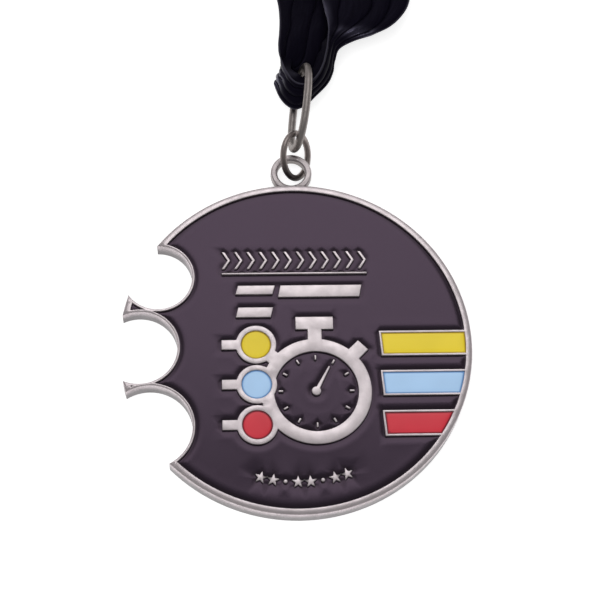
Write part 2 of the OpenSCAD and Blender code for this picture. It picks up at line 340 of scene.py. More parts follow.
def triangulate(edges, extra):
    """Points and triangles that fill the border and pass through the extra points."""
    index, points, lines = {}, [], []
    for edge in edges:
        line = []
        for p in edge:
            key = (round(p.x / (1e-4 * MM)), round(p.y / (1e-4 * MM)))
            if key not in index:
                index[key] = len(points)
                points.append(Vector(p[:2]) / MM)
            line.append(index[key])
        if line[0] != line[1]:
            lines.append(line)
    points += [Vector(p) / MM for p in extra]
    verts, _, faces, *_ = delaunay_2d_cdt(points, lines, [], 0, 1e-5)
    verts = np.array(verts) * MM
    faces = np.array(faces)
    keep = inside(verts[faces].mean(1), edges)
    return verts, faces[keep]


def pour(node, name, material, dip_mm, dip_reach_mm, ridge_mm=0.0, dome_mm=0.0):
    """Enamel in one pocket: low beside the metal, with a faint ridge, then flat or domed."""
    bm = merged(node)
    top, foot = max(v.co.z for v in bm.verts), min(v.co.z for v in bm.verts)
    edges = divided(top_edges(bm), border_step)
    bm.free()
    extra = []
    for step in ring_steps:
        ring = []
        for a, b in edges:
            along = (b - a).normalized()
            inward = Vector((-along.y, along.x, 0))
            ring.append(((a + b) / 2 + inward * step * MM)[:2])
        ring = np.array(ring)
        far = wall_distance(ring, edges)
        keep = (far > step * MM * 0.96) & inside(ring, edges)
        extra.append(ring[keep])
    corners = np.array([e[0][:2] for e in edges])
    low, high = corners.min(0), corners.max(0)
    grid = np.stack(np.meshgrid(np.arange(low[0], high[0], grid_step),
                                np.arange(low[1], high[1], grid_step)), -1).reshape(-1, 2)
    grid = grid[inside(grid, edges)]
    if len(grid):
        extra.append(grid[wall_distance(grid, edges) > (ring_steps[-1] + 0.6) * MM])
    verts, faces = triangulate(edges, np.concatenate(extra))
    reach = wall_distance(verts, edges)
    mm = reach / MM
    z = (top - dip_mm * MM * np.exp(-(mm / dip_reach_mm) ** 2)
         + ridge_mm * MM * np.exp(-((mm - ridge_place) / ridge_width) ** 2)
         + dome_mm * MM * (1 - np.exp(-mm / dome_reach)))

    count = len(verts)
    rim = [i for i in range(count) if reach[i] < weld]
    lower = {v: count + k for k, v in enumerate(rim)}
    foot_verts = [(*verts[v], foot + foot_gap) for v in rim]
    sides = {pair: True for a, b, c in faces for pair in ((a, b), (b, c), (c, a))}
    skirt = [(b, a, lower[a], lower[b]) for a, b in sides if (b, a) not in sides]
    mesh = bpy.data.meshes.new(name)
    mesh.from_pydata([(*p, h) for p, h in zip(verts, z)] + foot_verts, [],
                     [tuple(f) for f in faces] + skirt)
    mesh.attributes.new("wall_distance", "FLOAT", "POINT").data.foreach_set(
        "value", np.concatenate([reach, np.zeros(len(rim))]).astype(np.float32))
    closed = bmesh.new()
    closed.from_mesh(mesh)
    bmesh.ops.holes_fill(closed, edges=[e for e in closed.edges if e.is_boundary], sides=0)
    bmesh.ops.triangulate(closed, faces=[f for f in closed.faces if len(f.verts) > 4])
    bmesh.ops.recalc_face_normals(closed, faces=closed.faces)
    closed.to_mesh(mesh)
    closed.free()
    mesh.shade_smooth()
    mesh.set_sharp_from_angle(angle=math.radians(50))
    mesh.materials.append(material)
    piece = bpy.data.objects.new(name, mesh)
    scene.collection.objects.link(piece)
    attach(piece, "medal")
    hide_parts(node)
    return piece


black_names = {"black_field_enamel": "black_field", "stopwatch_dial_enamel": "stopwatch_dial"}
for node, name in black_names.items():
    piece = pour(node, name, enamels["black"], dip_mm=0.14, dip_reach_mm=0.6, ridge_mm=0.014)
    print(name, len(piece.data.polygons), "faces")
for colour in ("yellow", "blue", "red"):
    for shape in ("dot", "bar"):
        piece = pour(f"{colour}_{shape}_enamel", f"{colour}_{shape}", enamels[colour],
                     dip_mm=0.1, dip_reach_mm=0.3, dome_mm=0.06)
        print(piece.name, len(piece.data.polygons), "faces")

# %% [markdown]
# ## The casting
# A polished casting has no knife edges. The frame's mesh has sharp edges round every pocket, so a
# copy of it gets a small round there. Its top face is a flat net of triangles: each border point
# moves in by the radius, and a quarter circle joins it to the wall. The Bevel modifier could do
# this, but the thin points of the stars and ticks make it spill over.

# %% Rounded casting
edge_round = 0.11 * MM
round_steps = 3
longest_miter = 2.2


def rounded_casting(node, name, material):
    bm = merged(node)
    top = max(v.co.z for v in bm.verts)
    flat = [f for f in bm.faces
            if f.normal.z > facing_up and f.calc_center_median().z > top - top_band]
    inward = {}
    walls = []
    for f in flat:
        for loop in f.loops:
            others = [g for g in loop.edge.link_faces if g is not f]
            if others and abs(others[0].normal.z) < 0.2:
                a, b = loop.vert, loop.link_loop_next.vert
                along = (b.co - a.co).normalized()
                normal = Vector((-along.y, along.x, 0))
                walls.append((a, b))
                for v in (a, b):
                    inward.setdefault(v, []).append(normal)
    steps = {}
    for v, normals in inward.items():
        middle = sum(normals, Vector()).normalized()
        stretch = min(1 / max(middle.dot(normals[0]), 0.01), longest_miter)
        way = middle * edge_round * stretch
        arc = []
        for i in range(round_steps + 1):
            angle = i / round_steps * math.pi / 2
            arc.append(bm.verts.new((v.co.x + way.x * (1 - math.cos(angle)),
                                     v.co.y + way.y * (1 - math.cos(angle)),
                                     top - edge_round * (1 - math.sin(angle)))))
        steps[v] = arc
    for f in flat:
        if any(v in steps for v in f.verts):
            bm.faces.new([steps[v][-1] if v in steps else v for v in f.verts])
            bm.faces.remove(f)
    for a, b in walls:
        for i in range(round_steps):
            bm.faces.new((steps[a][i], steps[b][i], steps[b][i + 1], steps[a][i + 1]))
    for v, arc in steps.items():
        v.co.z = top - edge_round
    bmesh.ops.remove_doubles(bm, verts=bm.verts, dist=weld)
    bm.normal_update()
    mesh = bpy.data.meshes.new(name)
    bm.to_mesh(mesh)
    bm.free()
    mesh.shade_smooth()
    mesh.set_sharp_from_angle(angle=math.radians(38))
    mesh.materials.append(material)
    piece = bpy.data.objects.new(name, mesh)
    scene.collection.objects.link(piece)
    return piece


casting = rounded_casting("medal_body", "casting", cast_nickel)
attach(casting, "medal")
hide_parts("medal_body")
print("casting:", len(casting.data.polygons), "faces")

# %% [markdown]
# ## The hanging loop
# The loop is a stamped ring soldered to the rim. Its CAD shape is right, with a chamfer along each
# edge, so a merged copy only needs those edges eased by a Bevel modifier.

# %% Loop
def eased_copy(node, name, material, width, steps):
    bm = merged(node)
    bmesh.ops.dissolve_limit(bm, angle_limit=math.radians(0.5), verts=bm.verts, edges=bm.edges)
    mesh = bpy.data.meshes.new(name)
    bm.to_mesh(mesh)
    bm.free()
    mesh.materials.append(material)
    piece = bpy.data.objects.new(name, mesh)
    scene.collection.objects.link(piece)
    bevel = piece.modifiers.new("ease", "BEVEL")
    bevel.width = width
    bevel.segments = steps
    bevel.limit_method = "ANGLE"
    bevel.angle_limit = math.radians(25)
    bpy.context.view_layer.update()
    made = bpy.data.meshes.new_from_object(piece.evaluated_get(bpy.context.evaluated_depsgraph_get()))
    piece.modifiers.clear()
    piece.data = made
    made.name = name
    made.shade_smooth()
    made.set_sharp_from_angle(angle=math.radians(40))
    return piece


loop = eased_copy("hanging_loop", "loop", loop_nickel, 0.08 * MM, 2)
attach(loop, "medal")
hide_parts("hanging_loop")
print("loop:", len(loop.data.polygons), "faces")

# %% [markdown]
# ## The two wire rings
# Both rings are bent wire, so one Geometry Nodes tree makes them: it sweeps a round section along a
# path and raises fine dents, as tumbled wire has. The paths follow the rings' own rules, a circle
# with a small gap for the jump ring and a superellipse for the oval ring.

# %% Wire tree
def wire_tree():
    tree = bpy.data.node_groups.new("wire_along_path", "GeometryNodeTree")
    face = tree.interface
    face.new_socket("Path", in_out="INPUT", socket_type="NodeSocketGeometry")
    for name in ("Wire radius", "Dent height", "Dent size"):
        face.new_socket(name, in_out="INPUT", socket_type="NodeSocketFloat")
    face.new_socket("Sides", in_out="INPUT", socket_type="NodeSocketInt")
    face.new_socket("Finish", in_out="INPUT", socket_type="NodeSocketMaterial")
    face.new_socket("Geometry", in_out="OUTPUT", socket_type="NodeSocketGeometry")
    given = add(tree, "NodeGroupInput")
    section = add(tree, "GeometryNodeCurvePrimitiveCircle", {
        "Resolution": given.outputs["Sides"], "Radius": given.outputs["Wire radius"]})
    wire = add(tree, "GeometryNodeCurveToMesh", {
        "Curve": given.outputs["Path"], "Profile Curve": section.outputs["Curve"], "Fill Caps": True})
    scale = add(tree, "ShaderNodeMath", {0: 1.0, 1: given.outputs["Dent size"]}, operation="DIVIDE")
    dents = add(tree, "ShaderNodeTexNoise", {"Scale": scale.outputs[0], "Detail": 2.0})
    centred = add(tree, "ShaderNodeMath", {0: dents.outputs["Fac"], 1: 0.5}, operation="SUBTRACT")
    depth = add(tree, "ShaderNodeMath", {0: centred.outputs[0], 1: given.outputs["Dent height"]},
                operation="MULTIPLY")
    normal = add(tree, "GeometryNodeInputNormal")
    push = add(tree, "ShaderNodeVectorMath", {0: normal.outputs[0], "Scale": depth.outputs[0]},
               operation="SCALE")
    dented = add(tree, "GeometryNodeSetPosition", {
        "Geometry": wire.outputs["Mesh"], "Offset": push.outputs[0]})
    smooth = add(tree, "GeometryNodeSetShadeSmooth", {"Geometry": dented.outputs[0]})
    real = add(tree, "GeometryNodeRealizeInstances", {"Geometry": smooth.outputs[0]})
    finish = add(tree, "GeometryNodeSetMaterial", {
        "Geometry": real.outputs[0], "Material": given.outputs["Finish"]})
    add(tree, "NodeGroupOutput", {"Geometry": finish.outputs[0]})
    return tree


def applied(name, start_data, tree, values):
    """Runs a Geometry Nodes tree on an object and leaves a plain mesh of the result."""
    source = bpy.data.objects.new(name + "_path", start_data)
    scene.collection.objects.link(source)
    modifier = source.modifiers.new("nodes", "NODES")
    modifier.node_group = tree
    for item in tree.interface.items_tree:
        if item.item_type == "SOCKET" and item.in_out == "INPUT" and item.name in values:
            modifier[item.identifier] = values[item.name]
    bpy.context.view_layer.update()
    shown = source.evaluated_get(bpy.context.evaluated_depsgraph_get())
    mesh = bpy.data.meshes.new_from_object(shown)
    mesh.name = name
    bpy.data.objects.remove(source)
    piece = bpy.data.objects.new(name, mesh)
    scene.collection.objects.link(piece)
    return piece


def path_curve(name, points, closed):
    """A plain curve through the points."""
    curve = bpy.data.curves.new(name, "CURVE")
    curve.dimensions = "3D"
    line = curve.splines.new("POLY")
    line.points.add(len(points) - 1)
    for point, place in zip(line.points, points):
        point.co = (*place, 1)
    line.use_cyclic_u = closed
    return curve


wires = wire_tree()

# %% [markdown]
# Each path is found from the frame's own ring. The points of a ring's mesh lie in a thin slab, so
# their main directions give its length, its width and the way it faces.

# %% Ring paths
def ring_axes(node):
    """A ring's middle and its three main directions, the longest first."""
    points = np.array([v.co for v in frame["nodes"][node].data.vertices])
    _, _, axes = np.linalg.svd(points - points.mean(0), full_matrices=False)
    spans = [(points @ a).max() + (points @ a).min() for a in axes]
    middle = sum((a * s / 2 for a, s in zip(axes, spans)), np.zeros(3))
    sizes = [float((points @ a).max() - (points @ a).min()) for a in axes]
    return Vector(middle), [Vector(a) for a in axes], sizes


oval_middle, oval_axes, oval_sizes = ring_axes("oval_ring")
if oval_axes[0].y < 0:
    oval_axes[0].negate()
if oval_axes[1].z < 0:
    oval_axes[1].negate()
oval_wire = oval_sizes[2] / 2
oval_fullness = 2.3                        # 2 is an ellipse, and more is squarer
oval_steps = 160


def power(value):
    return math.copysign(abs(value) ** (2 / oval_fullness), value)


oval_points = []
for step in range(oval_steps):
    angle = step / oval_steps * math.tau
    oval_points.append(oval_middle
                       + oval_axes[0] * (oval_sizes[0] / 2 - oval_wire) * power(math.cos(angle))
                       + oval_axes[1] * (oval_sizes[1] / 2 - oval_wire) * power(math.sin(angle)))
oval = applied("oval_link_ring", path_curve("oval", oval_points, True), wires, {
    "Wire radius": oval_wire, "Sides": 28, "Dent height": 0.05 * MM, "Dent size": 0.9 * MM,
    "Finish": wire_nickel})
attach(oval, "oval_link")
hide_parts("oval_ring")
print("oval ring:", len(oval.data.polygons), "faces, wire", round(2 * oval_wire / MM, 2), "mm")

# %% [markdown]
# The jump ring is cut from a coil, so its two ends meet at a thin line. The frame's ring has that
# gap, and the widest empty angle round its axis shows where it is.

# %% Jump ring
jump_middle, jump_axes, jump_sizes = ring_axes("jump_ring")
jump_points = np.array([v.co for v in frame["nodes"]["jump_ring"].data.vertices])
facing = jump_axes[2]
jump_wire = jump_sizes[2] / 2
side_a = jump_axes[0]
side_b = facing.cross(side_a)
# a circle through the mesh, from its widest spans in the ring's own plane
flat_a = (jump_points - np.array(jump_middle)) @ np.array(side_a)
flat_b = (jump_points - np.array(jump_middle)) @ np.array(side_b)
jump_radius = (np.hypot(flat_a, flat_b).max() + np.hypot(flat_a, flat_b).min()) / 2
angles = np.sort(np.unique(np.round(np.arctan2(flat_b, flat_a), 4)))
gaps = np.diff(np.append(angles, angles[0] + math.tau))
gap = gaps.max()
gap_from = np.append(angles, angles[0] + math.tau)[gaps.argmax()]
start, sweep = gap_from + gap, math.tau - gap
jump_steps = 120
jump_path = []
for step in range(jump_steps + 1):
    angle = start + sweep * step / jump_steps
    jump_path.append(jump_middle + side_a * jump_radius * math.cos(angle)
                     + side_b * jump_radius * math.sin(angle))
jump = applied("jump_link_ring", path_curve("jump", jump_path, False), wires, {
    "Wire radius": jump_wire, "Sides": 26, "Dent height": 0.045 * MM, "Dent size": 0.8 * MM,
    "Finish": jump_nickel})
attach(jump, "jump_link")
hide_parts("jump_ring")
print("jump ring:", len(jump.data.polygons), "faces")

# %% [markdown]
# ## Black satin ribbon
# Satin is woven so that long threads float on its face. That gives a deep black with soft streaks of
# light along the ribbon. The selvedges at its two edges are plain woven, so they look greyer, and their
# lighter line also carries a painted highlight. The ribbon carries its own flat map: U across its width
# and V along its length, both in millimetres.

# %% Satin material
ribbon_width = 25.0                       # mm
selvedge_highlight_band = (0.45, 0.1)                    # mm from the edge: where it starts, and where it is full


def satin(name):
    material, tree = new_material(name)
    flat = add(tree, "ShaderNodeUVMap", uv_map="cloth_mm")
    split = add(tree, "ShaderNodeSeparateXYZ", {0: flat.outputs["UV"]})
    # threads lie 0.1 mm apart in life, and are drawn 0.4 mm apart so that they show as streaks
    stretched = add(tree, "ShaderNodeMapping", {
        "Vector": flat.outputs["UV"], "Scale": (1 / 0.4, 0.12, 1)})
    streaks = add(tree, "ShaderNodeTexNoise", {
        "Vector": stretched.outputs[0], "Scale": 1.0, "Detail": 3.0, "Roughness": 0.65})
    picks = add(tree, "ShaderNodeTexWave", {
        "Vector": flat.outputs["UV"], "Scale": 0.9, "Distortion": 0.6, "Detail": 1.0},
        wave_type="BANDS", bands_direction="Y")
    centred = add(tree, "ShaderNodeMath", {0: split.outputs["X"], 1: ribbon_width / 2},
                  operation="SUBTRACT")
    away = add(tree, "ShaderNodeMath", {0: centred.outputs[0]}, operation="ABSOLUTE")
    # the lighter line along both edges: the greyer selvedge weave with a painted highlight on it
    edge = add(tree, "ShaderNodeMapRange", {
        0: away.outputs[0], 1: ribbon_width / 2 - selvedge_highlight_band[0], 2: ribbon_width / 2 - selvedge_highlight_band[1],
        3: 0.0, 4: 1.0})
    face = ramp(tree, streaks.outputs["Fac"], [
        (0.32, linear("#08060e")), (0.62, linear("#0c0a14")), (0.8, linear("#15121f"))])
    colour = add(tree, "ShaderNodeMix", {
        "Factor": edge.outputs[0], 6: face.outputs["Color"], 7: linear("#3c3a44")}, data_type="RGBA")
    gloss = add(tree, "ShaderNodeMapRange", {
        0: streaks.outputs["Fac"], 1: 0.3, 2: 0.75, 3: 0.5, 4: 0.32})
    weave = add(tree, "ShaderNodeMath", {0: streaks.outputs["Fac"], 1: picks.outputs["Fac"]},
                operation="MULTIPLY")
    bump = add(tree, "ShaderNodeBump", {
        "Height": weave.outputs[0], "Distance": 0.05 * MM, "Strength": 0.5})
    pinch = add(tree, "ShaderNodeAttribute", attribute_name="pinch")
    pressed = add(tree, "ShaderNodeMapRange", {0: pinch.outputs["Fac"], 3: 0.04, 4: 1.0})
    smooth = add(tree, "ShaderNodeMapRange", {0: pinch.outputs["Fac"], 3: 1.0, 4: 0.42})
    rough = add(tree, "ShaderNodeMath", {0: gloss.outputs[0], 1: smooth.outputs[0]},
                operation="MULTIPLY")
    shader = add(tree, "ShaderNodeBsdfPrincipled", {
        "Base Color": colour.outputs[2], "Roughness": rough.outputs[0], "IOR": 1.5,
        "Specular IOR Level": pressed.outputs[0], "Specular Tint": linear("#ddd6ff"),
        "Normal": bump.outputs[0]})
    add(tree, "ShaderNodeOutputMaterial", {"Surface": shader.outputs[0]})
    return material


satin_black = satin("black_polyester_satin")

# %% [markdown]
# ## The ribbon's shape
# The ribbon is one strip 25 mm wide and 800 mm long. It is gathered through the oval ring, spreads
# into two straps, and the spare length lies folded to and fro in a stack. A cloth simulation would
# take it wherever it liked, so the strip is lofted through listed cross-sections. A section
# is only its two edges. The folds between them deepen as the edges come together, so they open by
# themselves where the ribbon spreads.

# %% Ribbon sections
joints = {joint["name"]: joint for joint in frame["joints"]}
bight = Vector(joints["ribbon_swing"]["pos_m"]) / MM
cloth_low, cloth_high = (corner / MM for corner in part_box("neck_ribbon"))
band_low, band_high = (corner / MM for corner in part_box("storage_band"))
stack_middle = (band_low.x + band_high.x) / 2
stack_left, stack_right = stack_middle - ribbon_width / 2, stack_middle + ribbon_width / 2
stack_far = cloth_high.y
stack_near = band_low.y + band_high.y - stack_far

# from the stack down the right strap, through the oval ring and up the left strap:
# one edge and the other, in mm from the middle of the bight, and where the cloth is tucked inside
# the ring, how far the first fold reaches and which way
strap_sections = [
    ((0.1, 33.0, 1.5), (22.6, 33.0, 1.5)),
    ((2.8, 27.0, 1.4), (22.9, 26.6, 1.1)),
    ((4.2, 22.4, 1.4), (22.6, 22.2, 0.8)),
    ((4.6, 19.2, 1.5), (21.5, 18.0, 0.5)),
    ((5.0, 16.8, 1.6), (18.6, 14.5, 0.2)),
    ((5.4, 14.6, 1.7), (14.8, 12.5, -0.1)),
    ((5.5, 12.4, 1.8), (10.6, 11.1, -0.4)),
    ((5.3, 10.2, 1.9), (7.7, 9.5, -0.7)),
    ((4.8, 7.4, 2.0), (6.7, 7.0, -1.1)),
    ((4.1, 4.6, 2.1), (6.2, 4.4, -1.3), (-2.0, 0.0, -0.9)),
    ((3.1, 2.3, 2.1), (5.0, 1.9, -1.5), (-2.2, 1.2, -0.9)),
    ((1.7, 0.7, 2.1), (2.7, -0.6, -1.8), (-1.0, 2.7, -0.9)),
    ((0.4, 0.1, 2.1), (0.6, -2.6, -2.0), (0.0, 3.3, -0.9)),
    ((-0.9, 0.3, 2.1), (-1.5, -3.3, -2.1), (1.2, 3.1, -0.9)),
    ((-2.0, 1.2, 2.1), (-3.5, -1.8, -2.1), (2.2, 2.2, -0.9)),
    ((-2.9, 2.8, 2.1), (-4.7, 0.8, -2.1), (2.8, 0.9, -0.9)),
    ((-3.7, 4.7, 2.1), (-4.9, 3.2, -2.5), (2.1, 0.0, -0.9)),
    ((-4.2, 6.3, 2.0), (-2.4, 3.6, -3.7), (1.6, 0.3, -0.6)),
    ((-4.4, 7.8, 1.7), (2.6, 4.1, -3.8)),
    ((-4.4, 9.8, 1.4), (5.2, 6.2, -3.2)),
    ((-4.2, 12.4, 0.8), (6.2, 10.6, -2.2)),
    ((-4.0, 15.6, -0.1), (7.6, 15.2, -1.5)),
    ((-4.1, 19.6, -1.2), (9.8, 19.4, -2.0)),
    ((-4.6, 24.4, -2.2), (14.0, 24.4, -2.9)),
    ((-4.2, 30.4, -3.2), (18.4, 30.4, -3.6)),
    ((-3.4, 35.0, -4.1), (21.2, 35.0, -4.2)),
]
layers = 14
layer_pitch = 0.48
first_layer_z = 0.75
seam_overlap = 15.0                        # how far the ribbon's end lies over the stack
seam_back = 9.0                            # how far the top layer stops short of that end
fan = (0.5, 0.45)                          # how far the stack sags and rises away from the band
held = 0.16                                # the share of the stack that the band holds flat
layer_steps = 22
turn_steps = 6
turn_bulge = 0.8
chance = random.Random(7)


def stack_rows():
    """The folded length from the foot of the stack up, as rows of two edges and no tuck, in mm."""
    rows = []
    y_from = stack_near + 1.5
    for k in range(layers):
        z = first_layer_z + k * layer_pitch
        shift = chance.uniform(-0.35, 0.35)
        twist = chance.uniform(-0.3, 0.3)
        ahead = k % 2 == 0
        y_to = stack_far - chance.uniform(0.3, 1.5) if ahead else stack_near + chance.uniform(0.3, 1.5)
        if k == layers - 1:
            y_to = stack_near + seam_overlap - seam_back
        for step in range(layer_steps + 1):
            t = step / layer_steps
            y = y_from + (y_to - y_from) * t
            rows.append((y, z, shift + twist * (t - 0.5), k))
        if k < layers - 1:
            out = 1 if ahead else -1
            for step in range(1, turn_steps):
                angle = -math.pi / 2 + step / turn_steps * math.pi
                rows.append((y_to + out * turn_bulge * layer_pitch * math.cos(angle),
                             z + layer_pitch / 2 * (1 + math.sin(angle)), shift, k + step / turn_steps))
        y_from = y_to
    pairs = []
    for y, z, shift, k in rows:
        off = abs(y - (band_low.y + band_high.y) / 2) / (stack_far - stack_near) * 2
        off = max(0.0, off - held) / (1 - held)
        share = k / (layers - 1)
        z += off * off * (fan[1] * share - fan[0] * (1 - share))
        z += off * 0.05 * math.sin(y / 5 + 1.7 * k)
        pairs.append((Vector((stack_left + shift, y, z)), Vector((stack_right + shift, y, z)),
                      Vector()))
    return pairs


def spline(points, t):
    """A Catmull-Rom curve through the points, at t counted in points."""
    i = min(int(t), len(points) - 2)
    f = t - i
    a, b = points[max(i - 1, 0)], points[i]
    c, d = points[i + 1], points[min(i + 2, len(points) - 1)]
    return 0.5 * (2 * b + (c - a) * f + (2 * a - 5 * b + 4 * c - d) * f * f
                  + (3 * b - a - 3 * c + d) * f ** 3)


row_step = 0.55
top_z = first_layer_z + layers * layer_pitch + fan[1] * 0.6
over = [(Vector((stack_left, stack_near + y, top_z)), Vector((stack_right, stack_near + y, top_z)),
         Vector())
        for y in (seam_overlap, seam_overlap * 0.66, seam_overlap * 0.33, 1.0)]
straps = [(bight + Vector(a), bight + Vector(b), Vector(*tuck)) for a, b, *tuck in strap_sections]
rows = []
hand_rows = over + straps
for i in range(len(hand_rows) - 1):
    gap = sum((hand_rows[i][k] - hand_rows[i + 1][k]).length for k in (0, 1)) / 2
    count = max(2, round(gap / row_step))
    for step in range(count):
        t = i + step / count
        rows.append(tuple(spline([row[k] for row in hand_rows], t) for k in range(3)))
strap_rows = len(rows)
rows += stack_rows()
print("ribbon rows:", strap_rows, "in the straps and", len(rows) - strap_rows, "in the stack")

# %% [markdown]
# Gathered satin keeps a smooth face and tucks its spare width behind it. So a section runs straight
# along the chord and dips into three narrow folds on the hidden side. They take up the spare width
# until they reach a set depth, which leaves room for the ring, so the cloth is a few millimetres
# narrower than life where it is gathered most. Pinched cloth crumples and is glossier there, so an
# attribute marks it.

# %% Ribbon mesh
across = 90
fold_places = (0.2, 0.53, 0.83)            # along the chord, from 0 to 1
fold_shares = (0.3, 0.4, 0.3)
fold_mouth = 0.16                          # mm
deepest_fold = 2.2
swell = 0.2                                # how far the face rounds up between two folds
table_gap = 0.35
cloth_thickness = 0.22 * MM
# where the cloth is pinched, in mm from the middle of the bight, and how far that reaches
pinches = (((4.7, 15.4), (0.9, 3.0)), ((11.6, 12.6), (3.6, 0.8)), ((-4.6, 2.4), (1.4, 1.6)))
turn_from, turn_over = 3.0, 4.0            # mm past the bight, where the folds change sides
pinch_end = 5.0


def folded_section(width, first_depth, run):
    """Places along the chord and depths behind it, in mm, for evenly spaced threads, and which of
    them are in the first fold."""
    spare = ribbon_width - width
    knots = [(0.0, 0.0)]
    for k, (place, share) in enumerate(zip(fold_places, fold_shares)):
        drift = noise.noise((run / 8, k * 5.3, 1.1))
        place += 0.09 * drift * min(1.0, spare / 8)
        deep = min(spare / 2 * share * (1 + 0.6 * drift), deepest_fold)
        deep = max(deep, first_depth) if k == 0 else deep
        mouth = min(fold_mouth, deep)
        knots += [(place * width - mouth / 2, 0.0), (place * width, deep),
                  (place * width + mouth / 2, 0.0)]
    knots = np.array(knots + [(width, 0.0)])
    lengths = np.append(0, np.hypot(*np.diff(knots, axis=0).T).cumsum())
    threads = np.linspace(0, lengths[-1], across + 1)
    along, deep = (np.interp(threads, lengths, knots[:, k]) for k in (0, 1))
    for start, end in zip(lengths[0::3], lengths[1::3]):
        face = (threads > start) & (threads < end)
        deep[face] -= (min(1.0, spare / 6) * swell
                       * np.sin((threads[face] - start) / (end - start) * math.pi))
    soft = np.convolve(np.pad(deep, 1, mode="edge"), [0.2, 0.6, 0.2], "valid")
    return along, soft, (threads > lengths[1]) & (threads < lengths[3])


def ribbon_mesh():
    verts, uvs, pinched = [], [], []
    run = 0.0
    turned = False
    for i, (a, b, tuck) in enumerate(rows):
        before, after = rows[max(i - 1, 0)], rows[min(i + 1, len(rows) - 1)]
        ahead = (after[0] + after[1] - before[0] - before[1]).normalized()
        chord = b - a
        width = min(chord.length, ribbon_width)
        behind = chord.cross(ahead).normalized()
        middle = (a + b) / 2
        if i:
            run += (middle - (rows[i - 1][0] + rows[i - 1][1]) / 2).length
        # past the bight the other face looks up, so the folds change sides there
        turned = turned or (i < strap_rows and middle.x < bight.x - 1)
        side = 1.0
        if turned:
            rise = min(max((middle.y - bight.y - turn_from) / turn_over, 0.0), 1.0)
            side = 1 - 2 * rise * rise * (3 - 2 * rise)
        along, deep, first = folded_section(width, tuck.length, run)
        tucked = min(1.0, tuck.length / 1.5)
        first_way = behind * side * (1 - tucked) + tuck.normalized() * tucked
        gathered = min(1.0, (ribbon_width - width) / ribbon_width * 1.5)
        for j in range(across + 1):
            u = j / across
            flat = a + chord * (along[j] / width)
            pinch = 0.0
            if i < strap_rows:
                for (x, y), (reach_x, reach_y) in pinches:
                    off = Vector(((flat.x - bight.x - x) / reach_x,
                                  (flat.y - bight.y - y) / reach_y))
                    pinch = max(pinch, math.exp(-off.length_squared))
                if turned and middle.y > bight.y + pinch_end:
                    pinch = 0.0
            crumple = gathered * (0.16 * noise.noise((u * 6, run / 4.5, 0.3))
                                  + (0.06 + 0.36 * pinch) * noise.noise((u * 16, run / 1.5, 5.1))
                                  + 0.3 * pinch * noise.noise((u * 30, run / 0.9, 8.8)))
            way = first_way if first[j] else behind * side
            place = flat + way * deep[j] + behind * crumple
            place.z = max(place.z, table_gap if i < strap_rows else 0.0)
            verts.append(place * MM)
            uvs.append((u * ribbon_width, run))
            pinched.append(pinch)
    faces = []
    wide = across + 1
    for i in range(len(rows) - 1):
        for j in range(across):
            faces.append((i * wide + j, (i + 1) * wide + j, (i + 1) * wide + j + 1, i * wide + j + 1))
    mesh = bpy.data.meshes.new("ribbon")
    mesh.from_pydata(verts, [], faces)
    layer = mesh.uv_layers.new(name="cloth_mm")
    for loop in mesh.loops:
        layer.data[loop.index].uv = uvs[loop.vertex_index]
    mesh.attributes.new("pinch", "FLOAT", "POINT").data.foreach_set("value", pinched)
    print("ribbon length along its middle:", round(run), "mm")
    return mesh


def plain(piece):
    """The object's mesh with its modifiers applied, in its own place."""
    bpy.context.view_layer.update()
    mesh = bpy.data.meshes.new_from_object(
        piece.evaluated_get(bpy.context.evaluated_depsgraph_get()))
    piece.modifiers.clear()
    mesh.name = piece.name
    piece.data = mesh
    return piece


ribbon = bpy.data.objects.new("neck_ribbon_cloth", ribbon_mesh())
scene.collection.objects.link(ribbon)
ribbon.data.materials.append(satin_black)
ribbon.data.shade_smooth()
wall = ribbon.modifiers.new("thickness", "SOLIDIFY")
wall.thickness = cloth_thickness
wall.offset = 0
plain(ribbon)
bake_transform(ribbon)
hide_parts("neck_ribbon")
print("ribbon:", len(ribbon.data.polygons), "faces")

# %% [markdown]
# ## Seam stitches
# Two rows of thread hold the ribbon's end down. Every stitch is alike, so one small bead of thread is
# set on a grid of points by Geometry Nodes.

# %% Stitches
thread, tree = new_material("black_polyester_thread")
place = add(tree, "ShaderNodeTexCoord")
ply = add(tree, "ShaderNodeTexWave", {"Vector": place.outputs["Object"], "Scale": per_mm(0.9)})
ply_colour = ramp(tree, ply.outputs["Fac"], [(0.2, linear("#1c1b21")), (0.8, linear("#3a3842"))])
shader = add(tree, "ShaderNodeBsdfPrincipled", {
    "Base Color": ply_colour.outputs["Color"], "Roughness": 0.6, "Sheen Weight": 0.2})
add(tree, "ShaderNodeOutputMaterial", {"Surface": shader.outputs[0]})


